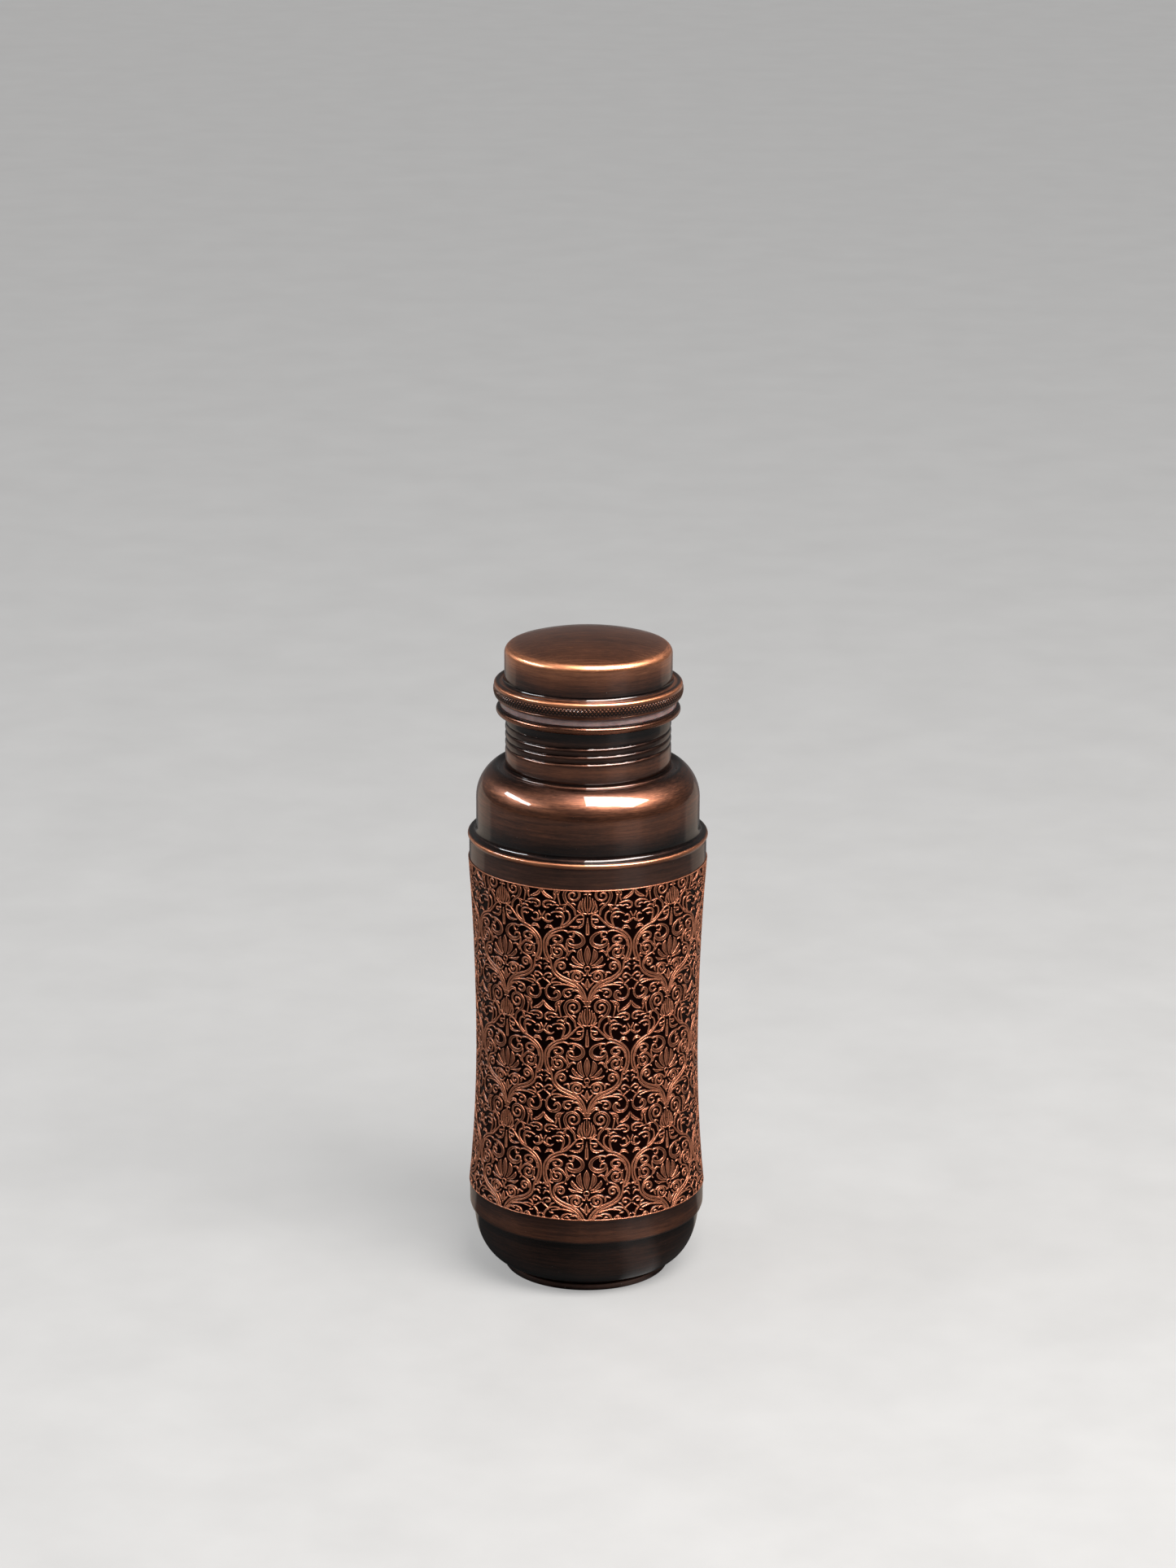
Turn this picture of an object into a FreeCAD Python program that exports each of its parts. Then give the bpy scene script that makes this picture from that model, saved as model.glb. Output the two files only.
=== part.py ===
"""Copper water bottle with an embossed sleeve and a screw-in cap.

Millimetres, +Z up. The origin is the centre of the circle that the foot rests on.
The front of the bottle faces -Y. Every piece is turned about the Z axis, apart from
the right-hand thread, which winds about the same axis. Brazed pieces share faces.
"""
import FreeCAD, Part
import math
import os

os.makedirs("parts", exist_ok=True)

# ---- driving dimensions -------------------------------------------------------------
rim_radius = 40.0            # widest circle of the bottle, at the rim bead
overall_height = 222.0       # foot to the top of the cap
wall = 0.8                   # copper sheet
sleeve_thickness = 1.0       # embossed sheet, from its back to the crests of its relief

foot_height = 3.4            # underside of the bowl's floor
foot_radius = 27.8
foot_inner_radius = 24.6

band_bottom = 21.5           # lower edge of the plain band around the base
sleeve_bottom = 30.1
sleeve_top = 145.5
waist_height = 80.0          # where the sleeve is slimmest
waist_radius = 37.45
sleeve_bottom_radius = 40.0
sleeve_top_radius = 39.9

rim_band_radius = 39.5
rim_bead_height = 153.3      # height of the widest circle
rim_bead_rounding = 1.0
rim_fillet_top = 156.6       # where the ledge of the rim runs up into the shoulder
shoulder_radius = 37.15
shoulder_start = 166.0       # where the shoulder begins to round over
shoulder_rounding = 13.2

neck_radius = 27.5
neck_wall = 0.9
lip_bottom = 195.2
lip_top = 197.6
lip_radius = 30.5

gasket_top = 199.6
gasket_radius = 29.1

collar_radius = 31.4
collar_top = 207.0
crown_radius = 27.75
crown_rise = 4.2             # height of the dome over its edge
crown_edge_rounding = 3.0

# ---- screw thread -------------------------------------------------------------------
# A groove is rolled into the neck from outside and stands up inside as a helical ridge.
# The plug of the cap carries the matching groove, which runs out of its lower end.
thread_pitch = 2.64
thread_turns = 3
thread_start = 182.98        # height of the lower end of the ridge, at the back (+Y)
thread_centre_radius = 27.45
thread_groove_radius = 0.85  # section of the groove in the outside of the neck
thread_ridge_radius = 1.45   # section of the ridge inside the neck
thread_clearance = 0.1       # between the ridge and the groove in the plug
plug_clearance = 0.2         # between the plug and the bore of the neck
plug_bottom = 181.5
plug_wall = 1.2
turns_below_ridge = 2        # the plug's groove begins this far below the ridge
turns_above_ridge = 0.25     # and ends this far above it

# ---- worked-out sizes ---------------------------------------------------------------
neck_bore = neck_radius - neck_wall
plug_radius = neck_bore - plug_clearance
body_base_radius = sleeve_bottom_radius - sleeve_thickness
body_top_radius = sleeve_top_radius - sleeve_thickness
bowl_radius = body_base_radius - wall


# ---- drawing helpers ----------------------------------------------------------------
def point(radius, height):
    """A point of a profile, in the plane y = 0."""
    return FreeCAD.Vector(radius, 0, height)


def line(start, end):
    return Part.LineSegment(point(*start), point(*end)).toShape()


def arc(start, middle, end):
    return Part.Arc(point(*start), point(*middle), point(*end)).toShape()


def polyline(*corners):
    return [line(a, b) for a, b in zip(corners, corners[1:])]


def on_circle(centre, radius, angle):
    """The place on a circle at this angle, in degrees from the +radius axis."""
    turn = math.radians(angle)
    return (centre[0] + radius * math.cos(turn), centre[1] + radius * math.sin(turn))


def round_arc(centre, radius, start_angle, end_angle):
    """A circular arc from its centre, with angles in degrees from the +radius axis."""
    angles = (start_angle, (start_angle + end_angle) / 2, end_angle)
    return arc(*[on_circle(centre, radius, angle) for angle in angles])


def turned(edges):
    """The solid that a closed profile sweeps when it is turned about Z."""
    face = Part.Face(Part.Wire(Part.__sortEdges__(edges)))
    return face.revolve(point(0, 0), FreeCAD.Vector(0, 0, 1), 360)


def save(shape, name):
    """Write a piece, which is one solid, to its STEP file."""
    solid, = shape.Solids
    solid.exportStep("parts/" + name + ".step")
    print(name, "valid", solid.isValid(), "volume %.1f" % solid.Volume)


# ---- the waisted body ---------------------------------------------------------------
def sleeve_radius(height):
    """Radius over the crests of the sleeve: two arcs that meet upright at the waist."""
    if height < waist_height:
        span = waist_height - sleeve_bottom
        rise = sleeve_bottom_radius - waist_radius
    else:
        span = sleeve_top - waist_height
        rise = sleeve_top_radius - waist_radius
    arc_radius = (span ** 2 + rise ** 2) / (2 * rise)
    from_waist = height - waist_height
    return waist_radius + arc_radius - math.sqrt(arc_radius ** 2 - from_waist ** 2)


def waisted_edges(depth):
    """The two arcs of the waisted wall, this far under the sleeve's crests."""
    edges = []
    for low, high in ((sleeve_bottom, waist_height), (waist_height, sleeve_top)):
        heights = (low, (low + high) / 2, high)
        edges.append(arc(*[(sleeve_radius(z) - depth, z) for z in heights]))
    return edges


def damask_sleeve():
    """Embossed sheet wrapped around the body, as a plain sheet up to its crests."""
    bottom_inner = (sleeve_bottom_radius - sleeve_thickness, sleeve_bottom)
    top_inner = (sleeve_top_radius - sleeve_thickness, sleeve_top)
    edges = waisted_edges(0) + waisted_edges(sleeve_thickness)
    edges.append(line(bottom_inner, (sleeve_bottom_radius, sleeve_bottom)))
    edges.append(line(top_inner, (sleeve_top_radius, sleeve_top)))
    return turned(edges)


neck_in_top = 147.0          # the body steps in here to hold the shoulder's skirt
body_top = 153.0
bowl_skirt_top = 29.0
shoulder_skirt_bottom = 148.0


def body_shell():
    """Waisted tube that holds the water, stepped in at its top."""
    outer_base = (body_base_radius, band_bottom)
    inner_base = (body_base_radius - wall, band_bottom)
    inner_top = (body_top_radius - wall, sleeve_top)
    edges = waisted_edges(sleeve_thickness) + waisted_edges(sleeve_thickness + wall)
    edges += polyline((body_base_radius, sleeve_bottom), outer_base, inner_base,
                      (body_base_radius - wall, sleeve_bottom))
    edges += polyline((body_top_radius, sleeve_top),
                      (shoulder_radius + wall, neck_in_top),
                      (shoulder_radius + wall, body_top),
                      (shoulder_radius, body_top),
                      (shoulder_radius, neck_in_top),
                      inner_top)
    return turned(edges)


# ---- the base -----------------------------------------------------------------------
bowl_flat_radius = 27.4      # the flat floor of the bowl


def bowl_curve(offset):
    """Quarter ellipse from the floor of the bowl to its upright skirt."""
    across = bowl_radius - bowl_flat_radius - offset
    down = band_bottom - foot_height - offset
    centre = point(bowl_flat_radius, band_bottom)
    ellipse = Part.Ellipse(point(bowl_flat_radius, band_bottom - down),
                           point(bowl_flat_radius + across, band_bottom), centre)
    begin = ellipse.parameter(point(bowl_flat_radius, band_bottom - down))
    end = ellipse.parameter(point(bowl_flat_radius + across, band_bottom))
    return Part.ArcOfEllipse(ellipse, min(begin, end), max(begin, end)).toShape()


def base_bowl():
    """Spun bowl that closes the bottle, with a skirt inside the body tube."""
    floor_top = foot_height + wall
    edges = [bowl_curve(0), bowl_curve(wall)]
    edges += polyline((bowl_flat_radius, foot_height), (0, foot_height), (0, floor_top),
                      (bowl_flat_radius, floor_top))
    edges += polyline((bowl_radius, band_bottom), (bowl_radius, bowl_skirt_top),
                      (bowl_radius - wall, bowl_skirt_top),
                      (bowl_radius - wall, band_bottom))
    return turned(edges)


def foot_ring():
    """Ring under the bowl, with a beaded edge and a small groove over the bead."""
    edge_rounding = 0.6
    bead_top = 2.2
    groove_radius = foot_radius - 0.8
    groove_bottom = 2.8
    edges = polyline((foot_inner_radius, foot_height), (foot_inner_radius, 0),
                     (foot_radius - edge_rounding, 0))
    edges.append(round_arc((foot_radius - edge_rounding, edge_rounding), edge_rounding, -90, 0))
    edges += polyline((foot_radius, edge_rounding), (foot_radius, bead_top),
                      (groove_radius, groove_bottom), (groove_radius, foot_height),
                      (foot_inner_radius, foot_height))
    return turned(edges)


def base_band():
    """Plain band around the base, its lower edge turned slightly in."""
    band_radius = 39.7
    edge_radius = 39.3
    turn_middle = (39.6, band_bottom + 0.5)
    turn_top = band_bottom + 1.4
    inner = body_base_radius
    edges = polyline((band_radius, turn_top), (band_radius, sleeve_bottom),
                     (inner, sleeve_bottom), (inner, band_bottom),
                     (edge_radius, band_bottom))
    edges.append(arc((edge_radius, band_bottom), turn_middle, (band_radius, turn_top)))
    return turned(edges)


# ---- rim, shoulder and neck ---------------------------------------------------------
def rim_band():
    """Plain band over the joint of body and shoulder. Its top is a narrow ledge with a
    rounded rim outside and a fillet that runs up into the shoulder inside."""
    ledge = rim_bead_height + rim_bead_rounding
    bead_centre = (rim_radius - rim_bead_rounding, rim_bead_height)
    bead_foot = rim_bead_height - 0.9
    under_bead = (rim_radius - 0.15, rim_bead_height - 0.5)
    fillet_middle = (shoulder_radius + 0.4, ledge + 0.8)
    fillet_foot = (shoulder_radius + 1.3, ledge)
    edges = polyline((rim_band_radius, bead_foot), (rim_band_radius, sleeve_top),
                     (body_top_radius, sleeve_top), (shoulder_radius + wall, neck_in_top),
                     (shoulder_radius + wall, body_top), (shoulder_radius, body_top),
                     (shoulder_radius, rim_fillet_top))
    edges.append(arc((shoulder_radius, rim_fillet_top), fillet_middle, fillet_foot))
    edges.append(line(fillet_foot, (bead_centre[0], ledge)))
    edges.append(round_arc(bead_centre, rim_bead_rounding, 90, 0))
    edges.append(arc((rim_radius, rim_bead_height), under_bead, (rim_band_radius, bead_foot)))
    return turned(edges)


def shoulder_shell():
    """Spun shoulder: an upright skirt that rounds over to a shallow valley at the neck."""
    centre = (shoulder_radius - shoulder_rounding, shoulder_start)
    inner_rounding = shoulder_rounding - wall
    rounding_end = 56            # degrees up from outward, just outside the crest
    inner_end = 52
    crest = (30.6, 177.15)
    valley_edge = (29.9, 176.8)
    valley = (28.9, 176.2)
    valley_foot = (27.9, 176.6)
    at_neck = (neck_radius, 177.4)
    under_valley = (neck_radius, 175.4)
    edges = [round_arc(centre, shoulder_rounding, 0, rounding_end),
             arc(on_circle(centre, shoulder_rounding, rounding_end), crest, valley_edge),
             arc(valley_edge, valley, valley_foot)]
    edges += polyline(valley_foot, at_neck, under_valley,
                      on_circle(centre, inner_rounding, inner_end))
    edges.append(round_arc(centre, inner_rounding, inner_end, 0))
    edges += polyline((shoulder_radius, shoulder_start),
                      (shoulder_radius, shoulder_skirt_bottom),
                      (shoulder_radius - wall, shoulder_skirt_bottom),
                      (shoulder_radius - wall, shoulder_start))
    return turned(edges)


def thread_sweep(section_radius, cut_off_radius, start_height, turns):
    """A round section, cut off straight on its outer side, swept along the thread.

    cut_off_radius is the distance from the axis of the straight outer side, or None for
    a full circle. The sweep begins at the back (+Y).
    """
    helix = Part.makeHelix(thread_pitch, turns * thread_pitch, thread_centre_radius)
    centre = (thread_centre_radius, 0)
    if cut_off_radius is None:
        circle = Part.Circle(point(*centre), FreeCAD.Vector(0, 1, 0), section_radius)
        section = Part.Wire([circle.toShape()])
    else:
        inward = thread_centre_radius - cut_off_radius
        half_width = math.sqrt(section_radius ** 2 - inward ** 2)
        low = (cut_off_radius, -half_width)
        high = (cut_off_radius, half_width)
        tip = (thread_centre_radius - section_radius, 0)
        section = Part.Wire([arc(low, tip, high), line(high, low)])
    sweep = Part.Wire(helix).makePipeShell([section], True, True)
    sweep.rotate(FreeCAD.Vector(0, 0, 0), FreeCAD.Vector(0, 0, 1), 90)
    sweep.translate(FreeCAD.Vector(0, 0, start_height))
    return sweep


neck_bottom = 175.0
neck_top = 196.9


def neck_tube():
    """Tube brazed into the shoulder, with the thread rolled into it from outside."""
    tube = turned(polyline((neck_bore, neck_bottom), (neck_radius, neck_bottom),
                           (neck_radius, neck_top), (neck_bore, neck_top),
                           (neck_bore, neck_bottom)))
    ridge_root = neck_bore + 0.1
    ridge = thread_sweep(thread_ridge_radius, ridge_root, thread_start, thread_turns)
    groove = thread_sweep(thread_groove_radius, None, thread_start, thread_turns)
    return tube.fuse(ridge).cut(groove)


def mouth_lip():
    """Rolled bead around the mouth. The gasket seats on its flat top."""
    widest = lip_bottom + 1.4
    under = (lip_radius - 0.4, lip_bottom + 0.5)
    over = (lip_radius - 0.2, lip_top - 0.4)
    top_edge = (lip_radius - 0.8, lip_top)
    edges = [arc((neck_radius, lip_bottom), under, (lip_radius, widest)),
             arc((lip_radius, widest), over, top_edge)]
    edges += polyline(top_edge, (neck_bore, lip_top), (neck_bore, neck_top),
                      (neck_radius, neck_top), (neck_radius, lip_bottom))
    return turned(edges)


# ---- cap ----------------------------------------------------------------------------
plug_top = 206.0
plug_head_radius = crown_radius - wall
collar_seat = gasket_top + 1.0   # the crown's skirt stands on this ledge of the collar


def mouth_gasket():
    """Silicone washer between the lip of the neck and the flange of the cap."""
    inner = plug_radius + thread_clearance
    half = (gasket_top - lip_top) / 2
    bulge = 0.3
    edges = [arc((gasket_radius - bulge, lip_top), (gasket_radius, lip_top + half),
                 (gasket_radius - bulge, gasket_top))]
    edges += polyline((gasket_radius - bulge, gasket_top), (inner, gasket_top),
                      (inner, lip_top), (gasket_radius - bulge, lip_top))
    return turned(edges)


def cap_crown():
    """Domed cover of the cap, with a straight side that goes down inside the collar."""
    def dome(offset):
        edge_rounding = crown_edge_rounding - offset
        side = crown_radius - offset
        base_radius = crown_radius - crown_edge_rounding / 2
        dome_radius = (base_radius ** 2 + crown_rise ** 2) / (2 * crown_rise)
        centre_height = overall_height - dome_radius
        reach = side - edge_rounding
        edge_centre = (reach, centre_height + math.sqrt(
            (dome_radius - crown_edge_rounding) ** 2 - reach ** 2))
        tangent_angle = math.degrees(math.atan2(edge_centre[1] - centre_height, reach))
        outer_dome = round_arc((0, centre_height), dome_radius - offset, tangent_angle, 90)
        rounded_edge = round_arc(edge_centre, edge_rounding, 0, tangent_angle)
        return [outer_dome, rounded_edge], edge_centre[1]

    outer, side_top = dome(0)
    inner, _ = dome(wall)
    edges = outer + inner
    edges += polyline((crown_radius, side_top), (crown_radius, collar_seat),
                      (plug_head_radius, collar_seat), (plug_head_radius, side_top))
    edges.append(line((0, overall_height), (0, overall_height - wall)))
    return turned(edges)


def knurled_collar():
    """Finger grip around the foot of the crown. Its underside seats on the gasket."""
    fillet = 1.4                 # from the crown's side down to the collar
    bead = (29.9, 204.7)
    bead_rounding = 1.3
    bead_start = 120             # degrees, on the side of the crown
    grip_top = (bead[0] + bead_rounding, bead[1])
    grip_middle = (collar_radius, 203.2)
    grip_bottom = (30.6, 201.3)
    under_middle = (30.2, 200.4)
    seat_edge = (29.4, gasket_top)
    edges = [round_arc((crown_radius + fillet, collar_top), fillet, 180, 270),
             line((crown_radius + fillet, collar_top - fillet),
                  on_circle(bead, bead_rounding, bead_start)),
             round_arc(bead, bead_rounding, bead_start, 0),
             arc(grip_top, grip_middle, grip_bottom),
             arc(grip_bottom, under_middle, seat_edge)]
    edges += polyline(seat_edge, (plug_head_radius, gasket_top),
                      (plug_head_radius, collar_seat), (crown_radius, collar_seat),
                      (crown_radius, collar_top))
    return turned(edges)


def cap_plug():
    """Threaded barrel of the cap that screws down inside the neck."""
    bore = plug_radius - plug_wall
    barrel = turned(polyline((bore, plug_bottom), (plug_radius, plug_bottom),
                             (plug_radius, gasket_top), (plug_head_radius, gasket_top),
                             (plug_head_radius, plug_top), (bore, plug_top),
                             (bore, plug_bottom)))
    cutter_start = thread_start - turns_below_ridge * thread_pitch
    cutter_turns = turns_below_ridge + thread_turns + turns_above_ridge
    just_outside = plug_radius + 0.1
    cutter = thread_sweep(thread_ridge_radius + thread_clearance, just_outside,
                          cutter_start, cutter_turns)
    return barrel.cut(cutter)


def plug_disc():
    """Dished disc soldered into the lower end of the plug, which keeps the water out."""
    edge_radius = plug_radius - plug_wall
    floor = plug_bottom + 0.5
    flange_top = floor + 4.0
    dish = 0.8                   # rise of the middle over the edge
    dish_halfway = dish * 3 / 4
    inner_edge = edge_radius - wall
    edges = []
    for surface in (floor, floor + wall):
        edges.append(arc((0, surface + dish), (inner_edge / 2, surface + dish_halfway),
                         (inner_edge, surface)))
    edges += polyline((inner_edge, floor), (edge_radius, floor), (edge_radius, flange_top),
                      (inner_edge, flange_top), (inner_edge, floor + wall))
    edges.append(line((0, floor + dish), (0, floor + dish + wall)))
    return turned(edges)


for make_piece in (foot_ring, base_bowl, base_band, body_shell, damask_sleeve, rim_band,
                   shoulder_shell, neck_tube, mouth_lip, mouth_gasket, cap_crown,
                   knurled_collar, cap_plug, plug_disc):
    save(make_piece(), make_piece.__name__)
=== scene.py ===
"""Looks of the copper water bottle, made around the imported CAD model.

Metres, +Z up, the front of the bottle faces -Y. Every visible shell is turned or
embossed here as a fine mesh that stands for its CAD node. The relief of the sleeve is
drawn stroke by stroke in millimetres on one repeat of the pattern.
"""
import math

import bpy
import numpy as np
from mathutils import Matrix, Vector


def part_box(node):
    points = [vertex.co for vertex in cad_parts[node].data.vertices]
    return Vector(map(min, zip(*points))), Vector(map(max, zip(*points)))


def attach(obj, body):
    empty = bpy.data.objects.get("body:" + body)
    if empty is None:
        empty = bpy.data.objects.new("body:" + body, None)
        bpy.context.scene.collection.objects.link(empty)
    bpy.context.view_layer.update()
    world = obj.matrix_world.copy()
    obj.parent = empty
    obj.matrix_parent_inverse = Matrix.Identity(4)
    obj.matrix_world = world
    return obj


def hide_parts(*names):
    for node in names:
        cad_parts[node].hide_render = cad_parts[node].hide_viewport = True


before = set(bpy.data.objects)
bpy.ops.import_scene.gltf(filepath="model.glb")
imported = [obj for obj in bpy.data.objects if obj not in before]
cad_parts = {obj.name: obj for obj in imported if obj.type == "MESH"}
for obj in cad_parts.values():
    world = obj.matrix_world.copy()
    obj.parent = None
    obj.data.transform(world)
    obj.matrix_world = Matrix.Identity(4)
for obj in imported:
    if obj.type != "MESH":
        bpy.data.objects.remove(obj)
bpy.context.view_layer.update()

MM = 0.001
TURN = 2 * math.pi
ON_AXIS = 1e-6                  # a point nearer to the axis becomes a pole
SAME_POINT = 1e-4               # points nearer to each other are one


def size_of(node):
    """(outer radius, lowest height, highest height) of a turned CAD node, in mm."""
    low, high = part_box(node)
    return high.x / MM, low.z / MM, high.z / MM


# ---- meshes --------------------------------
def spiral(x, y, start_radius, end_radius, start, sweep, steps=14):
    """Points of a spiral about (x, y); angles in degrees from the first axis."""
    points = []
    for step in range(steps + 1):
        share = step / steps
        angle = math.radians(start + sweep * share)
        radius = start_radius + (end_radius - start_radius) * share
        points.append((x + radius * math.cos(angle), y + radius * math.sin(angle)))
    return points


def arc(centre, radius, start, end, steps):
    """Points (radius, height) of a circular arc; angles in degrees from outward."""
    return spiral(*centre, radius, radius, start, end - start, steps)


def curve_through(points, steps):
    """A smooth line through 2-D points (Catmull-Rom), in steps from each to the next."""
    p = np.array(points, float)
    ends = np.vstack([2 * p[0] - p[1], p, 2 * p[-1] - p[-2]])
    out = []
    for i in range(1, len(ends) - 2):
        a, b, c, d = ends[i - 1:i + 3]
        for t in np.linspace(0, 1, steps, endpoint=False):
            out.append(0.5 * (2 * b + (c - a) * t + (2 * a - 5 * b + 4 * c - d) * t ** 2
                              + (3 * b - a - 3 * c + d) * t ** 3))
    out.append(p[-1])
    return np.array(out)


def shifted(radius, height, *steps):
    """Points at (outward, upward) steps from one place."""
    return [(radius + outward, height + upward) for outward, upward in steps]


def above(level, *tones):
    """Tones whose heights are counted from a level."""
    return [(level + height, tone) for height, tone in tones]


def add_object(name, data):
    """A new object in the scene."""
    made = bpy.data.objects.new(name, data)
    bpy.context.scene.collection.objects.link(made)
    return made


def mesh_object(name, vertices, faces, sharp_angle=40, body="bottle"):
    """A smooth-shaded mesh object from vertices in mm, riding on a body."""
    mesh = bpy.data.meshes.new(name)
    mesh.from_pydata(np.asarray(vertices) * MM, [], faces)
    mesh.polygons.foreach_set("use_smooth", np.ones(len(mesh.polygons), bool))
    mesh.set_sharp_from_angle(angle=math.radians(sharp_angle))
    mesh.update()
    piece = add_object(name, mesh)
    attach(piece, body)
    return piece


def lathe(name, profile, tones, columns=288, relief=None, recess_tone=0.0, body="bottle"):
    """Turns a closed profile of (radius, height) points, in mm, about the Z axis.

    The profile runs up its outer side. A point that repeats the one before it is left
    out, and a point on the axis becomes a pole. relief(angles, radii, height) may return
    new radii for a ring. tones is a list of (height, tone), from 0 black to 1 bare copper:
    partly how far the patina is rubbed off, partly painted highlight on rounded edges and
    painted shade in creases and under overhangs. Recesses of the relief lose recess_tone
    for each mm of depth.
    """
    profile = [point for point, before in zip(profile, profile[-1:] + profile[:-1])
               if math.dist(point, before) > SAME_POINT]
    angles = np.arange(columns) * TURN / columns
    tone_heights, tone_values = zip(*tones)
    vertices = []
    values = []
    rings = []
    for radius, height in profile:
        tone = float(np.interp(height, tone_heights, tone_values))
        if radius < ON_AXIS:
            rings.append([len(vertices)])
            vertices.append((0.0, 0.0, height))
            values.append(tone)
            continue
        radii = np.full(columns, float(radius))
        if relief is not None:
            radii = relief(angles, radii, height)
        rings.append(range(len(vertices), len(vertices) + columns))
        vertices.extend(zip(radii * np.cos(angles), radii * np.sin(angles),
                            np.full(columns, float(height))))
        values.extend(tone - recess_tone * (radius - radii))
    faces = []
    for ring, following in zip(rings, rings[1:] + rings[:1]):
        if len(ring) == 1 and len(following) == 1:
            continue
        for i in range(columns):
            j = (i + 1) % columns
            if len(ring) == 1:
                faces.append((ring[0], following[j], following[i]))
            elif len(following) == 1:
                faces.append((ring[i], ring[j], following[0]))
            else:
                faces.append((ring[i], ring[j], following[j], following[i]))
    piece = mesh_object(name, vertices, faces, body=body)
    set_attribute(piece, "tone", values)
    return piece


def set_attribute(piece, name, values):
    """Stores one number for each vertex, which the piece's material reads."""
    attribute = piece.data.attributes.new(name, "FLOAT", "POINT")
    attribute.data.foreach_set("value", np.asarray(values, np.float32))


# ---- shader building -----------------------
class Shader:
    """Short calls to add and link the nodes of a material or of the world."""

    def __init__(self, owner):
        owner.use_nodes = True
        self.owner = owner
        self.nodes = owner.node_tree.nodes
        self.links = owner.node_tree.links

    def add(self, kind, inputs=(), **settings):
        """Adds a node; inputs are pairs of an input's name or number and what feeds it."""
        node = self.nodes.new("ShaderNode" + kind)
        for key, value in settings.items():
            setattr(node, key, value)
        for key, value in dict(inputs).items():
            self.feed(node.inputs[key], value)
        return node

    def feed(self, target, value):
        """Sets an input to a number or colour, or links an output socket to it."""
        if isinstance(value, bpy.types.NodeSocket):
            self.links.new(value, target)
        else:
            target.default_value = value

    def maths(self, operation, *values):
        return self.add("Math", enumerate(values), operation=operation).outputs[0]

    def noise(self, scale, detail, roughness=0.55, stretch=(1, 1, 1)):
        """Noise with this many features per mm, stretched by the inverse of stretch."""
        place = self.add("Mapping", {"Vector": self.add("TexCoord").outputs["Object"],
                                     "Scale": [share / MM for share in stretch]})
        return self.add("TexNoise", {"Vector": place.outputs[0], "Scale": scale,
                                     "Detail": detail, "Roughness": roughness}).outputs["Fac"]

    def blend(self, factor, first, second):
        """Mixes two numbers."""
        return self.add("Mix", {0: factor, 2: first, 3: second}, data_type="FLOAT").outputs[0]

    def ramp(self, value, *stops, interpolation="LINEAR"):
        """Colour ramp; each stop is (position, colour)."""
        node = self.add("ValToRGB", {"Fac": value})
        node.color_ramp.interpolation = interpolation
        elements = node.color_ramp.elements
        while len(elements) < len(stops):
            elements.new(0.5)
        for element, (position, colour) in zip(elements, stops):
            element.position = position
            element.color = (*colour, 1)
        return node.outputs["Color"]

    def span(self, value, low_in, high_in, low_out, high_out):
        """Maps a range to another and clamps it."""
        return self.add("MapRange", {"Value": value, "From Min": low_in, "From Max": high_in,
                                     "To Min": low_out, "To Max": high_out}).outputs["Result"]

    def mix(self, factor, first, second, blend="MIX"):
        """Mixes two colours."""
        first, second = [value if isinstance(value, bpy.types.NodeSocket) else (*value, 1)
                         for value in (first, second)]
        return self.add("Mix", {6: first, 7: second, 0: factor}, data_type="RGBA",
                        blend_type=blend).outputs[2]

    def bump(self, height, distance_mm, strength, normal=None):
        """Bends the surface's normal, or a normal that is bent already, by a height."""
        node = self.add("Bump", {"Strength": strength, "Distance": distance_mm * MM,
                                 "Height": height})
        if normal is not None:
            self.feed(node.inputs["Normal"], normal)
        return node.outputs["Normal"]

    def finish(self, **inputs):
        """Feeds the inputs of the material's surface and returns the material."""
        for name, value in inputs.items():
            if isinstance(value, tuple):
                value = (*value, 1)
            self.feed(self.nodes["Principled BSDF"].inputs[name.replace("_", " ")], value)
        return self.owner


AROUND = (0.05, 0.05, 1.0)      # stretches noise into streaks that run round the bottle
ACROSS = (0.03, 1.0, 1.0)       # and into straight scratches across the dome
FLAT_TOP = (0.88, 0.95)         # upward share of the normal, where walls become tops
# these colours also give the painted highlight and painted shade that the tones carry
BLACK = (0.008, 0.006, 0.006)   # the patina's colours, from untouched to rubbed off
UMBER = (0.042, 0.020, 0.015)
BROWN = (0.15, 0.062, 0.039)
COPPER = (0.40, 0.150, 0.078)
BARE = (0.82, 0.33, 0.165)
DUST = (0.75, 0.6, 0.5)


def brushed_noise(shader, on_top, scale, detail, roughness):
    """Noise in streaks that run round the walls and straight across flat tops."""
    around = shader.noise(scale, detail, roughness, AROUND)
    across = shader.noise(scale, detail, roughness, ACROSS)
    return shader.blend(on_top, around, across)


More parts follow.
